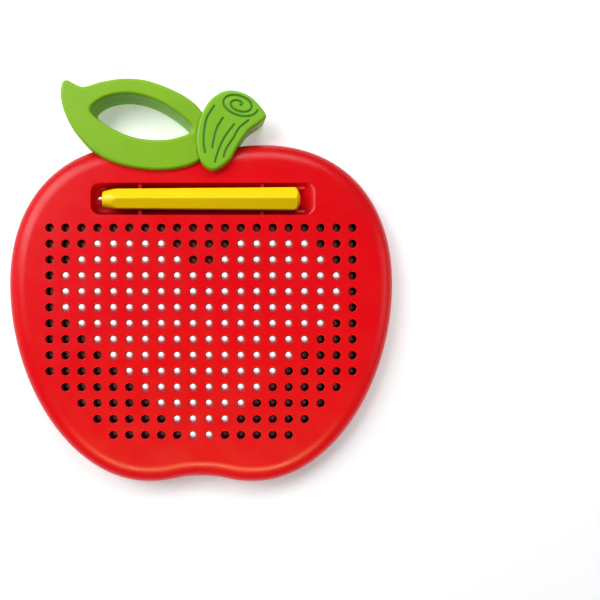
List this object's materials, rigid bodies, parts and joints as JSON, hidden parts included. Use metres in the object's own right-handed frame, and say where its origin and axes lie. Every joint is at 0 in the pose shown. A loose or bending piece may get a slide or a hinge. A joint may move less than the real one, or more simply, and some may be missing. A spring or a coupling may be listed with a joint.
{
  "type": "magnetic bead drawing board",
  "caption": "Apple-shaped magnetic drawing board: a pierced face over steel beads that a magnetic stylus pulls up, with a stylus tray and a leaf handle.",
  "frame": {"origin": "middle of the whole outline, on the flat back that the board lies on", "axes": "+Z out of the face, +Y towards the leaf handle, +X to the right as the face is looked at"},
  "size_m": [0.207, 0.2158, 0.0213],
  "materials": {
    "red_plastic": "glossy moulded",
    "black_plastic": "matt moulded",
    "retainer_film": "matt film",
    "leaf_plastic": "satin moulded",
    "stem_plastic": "satin moulded",
    "yellow_plastic": "glossy moulded",
    "magnet": "dark sintered",
    "tip_metal": "polished",
    "bead_steel": "polished"
  },
  "bodies": {
    "casing": {"front_shell": "red_plastic", "back_cover": "red_plastic", "cell_plate": "black_plastic", "retainer_sheet": "retainer_film", "leaf_front": "leaf_plastic", "leaf_back": "leaf_plastic", "stem_front": "stem_plastic", "stem_back": "stem_plastic"},
    "stylus": {"stylus_barrel": "yellow_plastic", "stylus_end_plug": "yellow_plastic", "stylus_magnet": "magnet", "stylus_tip": "tip_metal"},
    "beads_up_row02": {"beads_up_row02": "bead_steel"},
    "beads_up_row03": {"beads_up_row03": "bead_steel"},
    "beads_up_row04": {"beads_up_row04": "bead_steel"},
    "beads_up_row05": {"beads_up_row05": "bead_steel"},
    "beads_up_row06": {"beads_up_row06": "bead_steel"},
    "beads_up_row07": {"beads_up_row07": "bead_steel"},
    "beads_up_row08": {"beads_up_row08": "bead_steel"},
    "beads_up_row09": {"beads_up_row09": "bead_steel"},
    "beads_up_row10": {"beads_up_row10": "bead_steel"},
    "beads_up_row11": {"beads_up_row11": "bead_steel"},
    "beads_up_row12": {"beads_up_row12": "bead_steel"},
    "beads_up_row13": {"beads_up_row13": "bead_steel"},
    "beads_up_row14": {"beads_up_row14": "bead_steel"},
    "beads_down_row01": {"beads_down_row01": "bead_steel"},
    "beads_down_row02": {"beads_down_row02": "bead_steel"},
    "beads_down_row03": {"beads_down_row03": "bead_steel"},
    "beads_down_row04": {"beads_down_row04": "bead_steel"},
    "beads_down_row05": {"beads_down_row05": "bead_steel"},
    "beads_down_row06": {"beads_down_row06": "bead_steel"},
    "beads_down_row07": {"beads_down_row07": "bead_steel"},
    "beads_down_row08": {"beads_down_row08": "bead_steel"},
    "beads_down_row09": {"beads_down_row09": "bead_steel"},
    "beads_down_row10": {"beads_down_row10": "bead_steel"},
    "beads_down_row11": {"beads_down_row11": "bead_steel"},
    "beads_down_row12": {"beads_down_row12": "bead_steel"},
    "beads_down_row13": {"beads_down_row13": "bead_steel"},
    "beads_down_row14": {"beads_down_row14": "bead_steel"}
  },
  "joints": [
    {"name": "stylus_lift", "type": "slide", "parent": "casing", "child": "stylus", "axis": [0, 0, 1], "range_m": [0, 0.03]},
    {"name": "beads_up_row02_slide", "type": "slide", "parent": "casing", "child": "beads_up_row02", "axis": [0, 0, 1], "range_m": [-0.005, 0]},
    {"name": "beads_up_row03_slide", "type": "slide", "parent": "casing", "child": "beads_up_row03", "axis": [0, 0, 1], "range_m": [-0.005, 0]},
    {"name": "beads_up_row04_slide", "type": "slide", "parent": "casing", "child": "beads_up_row04", "axis": [0, 0, 1], "range_m": [-0.005, 0]},
    {"name": "beads_up_row05_slide", "type": "slide", "parent": "casing", "child": "beads_up_row05", "axis": [0, 0, 1], "range_m": [-0.005, 0]},
    {"name": "beads_up_row06_slide", "type": "slide", "parent": "casing", "child": "beads_up_row06", "axis": [0, 0, 1], "range_m": [-0.005, 0]},
    {"name": "beads_up_row07_slide", "type": "slide", "parent": "casing", "child": "beads_up_row07", "axis": [0, 0, 1], "range_m": [-0.005, 0]},
    {"name": "beads_up_row08_slide", "type": "slide", "parent": "casing", "child": "beads_up_row08", "axis": [0, 0, 1], "range_m": [-0.005, 0]},
    {"name": "beads_up_row09_slide", "type": "slide", "parent": "casing", "child": "beads_up_row09", "axis": [0, 0, 1], "range_m": [-0.005, 0]},
    {"name": "beads_up_row10_slide", "type": "slide", "parent": "casing", "child": "beads_up_row10", "axis": [0, 0, 1], "range_m": [-0.005, 0]},
    {"name": "beads_up_row11_slide", "type": "slide", "parent": "casing", "child": "beads_up_row11", "axis": [0, 0, 1], "range_m": [-0.005, 0]},
    {"name": "beads_up_row12_slide", "type": "slide", "parent": "casing", "child": "beads_up_row12", "axis": [0, 0, 1], "range_m": [-0.005, 0]},
    {"name": "beads_up_row13_slide", "type": "slide", "parent": "casing", "child": "beads_up_row13", "axis": [0, 0, 1], "range_m": [-0.005, 0]},
    {"name": "beads_up_row14_slide", "type": "slide", "parent": "casing", "child": "beads_up_row14", "axis": [0, 0, 1], "range_m": [-0.005, 0]},
    {"name": "beads_down_row01_slide", "type": "slide", "parent": "casing", "child": "beads_down_row01", "axis": [0, 0, 1], "range_m": [0, 0.005]},
    {"name": "beads_down_row02_slide", "type": "slide", "parent": "casing", "child": "beads_down_row02", "axis": [0, 0, 1], "range_m": [0, 0.005]},
    {"name": "beads_down_row03_slide", "type": "slide", "parent": "casing", "child": "beads_down_row03", "axis": [0, 0, 1], "range_m": [0, 0.005]},
    {"name": "beads_down_row04_slide", "type": "slide", "parent": "casing", "child": "beads_down_row04", "axis": [0, 0, 1], "range_m": [0, 0.005]},
    {"name": "beads_down_row05_slide", "type": "slide", "parent": "casing", "child": "beads_down_row05", "axis": [0, 0, 1], "range_m": [0, 0.005]},
    {"name": "beads_down_row06_slide", "type": "slide", "parent": "casing", "child": "beads_down_row06", "axis": [0, 0, 1], "range_m": [0, 0.005]},
    {"name": "beads_down_row07_slide", "type": "slide", "parent": "casing", "child": "beads_down_row07", "axis": [0, 0, 1], "range_m": [0, 0.005]},
    {"name": "beads_down_row08_slide", "type": "slide", "parent": "casing", "child": "beads_down_row08", "axis": [0, 0, 1], "range_m": [0, 0.005]},
    {"name": "beads_down_row09_slide", "type": "slide", "parent": "casing", "child": "beads_down_row09", "axis": [0, 0, 1], "range_m": [0, 0.005]},
    {"name": "beads_down_row10_slide", "type": "slide", "parent": "casing", "child": "beads_down_row10", "axis": [0, 0, 1], "range_m": [0, 0.005]},
    {"name": "beads_down_row11_slide", "type": "slide", "parent": "casing", "child": "beads_down_row11", "axis": [0, 0, 1], "range_m": [0, 0.005]},
    {"name": "beads_down_row12_slide", "type": "slide", "parent": "casing", "child": "beads_down_row12", "axis": [0, 0, 1], "range_m": [0, 0.005]},
    {"name": "beads_down_row13_slide", "type": "slide", "parent": "casing", "child": "beads_down_row13", "axis": [0, 0, 1], "range_m": [0, 0.005]},
    {"name": "beads_down_row14_slide", "type": "slide", "parent": "casing", "child": "beads_down_row14", "axis": [0, 0, 1], "range_m": [0, 0.005]}
  ]
}
